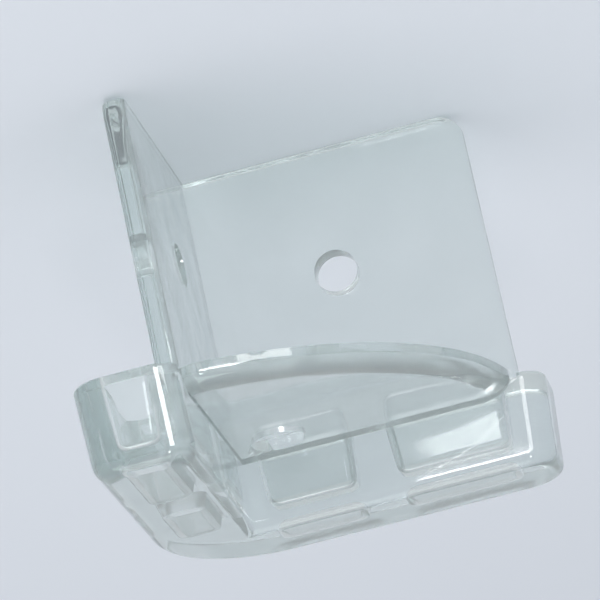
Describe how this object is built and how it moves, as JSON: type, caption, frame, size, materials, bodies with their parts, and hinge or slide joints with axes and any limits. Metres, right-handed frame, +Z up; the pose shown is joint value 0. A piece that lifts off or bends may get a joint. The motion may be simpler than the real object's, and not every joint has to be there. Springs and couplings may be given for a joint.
{
  "type": "furniture corner protector",
  "caption": "Clear soft corner protector: a top plate and two side walls fit round a table's corner, and a rounded hollow bumper runs along the outside.",
  "frame": {"origin": "middle of the part's box in plan, on the plane of the side walls' lower edges", "axes": "+Z up as on a table, legs along +X and +Y from the corner, the bumper on the -X and -Y sides"},
  "size_m": [0.0408, 0.0408, 0.0371],
  "materials": {
    "clear_plastic": "clear soft moulded plastic, glossy, very slightly hazy and faintly green-grey in its thick edges"
  },
  "bodies": {
    "root": {"corner_protector": "clear_plastic"}
  },
  "joints": []
}
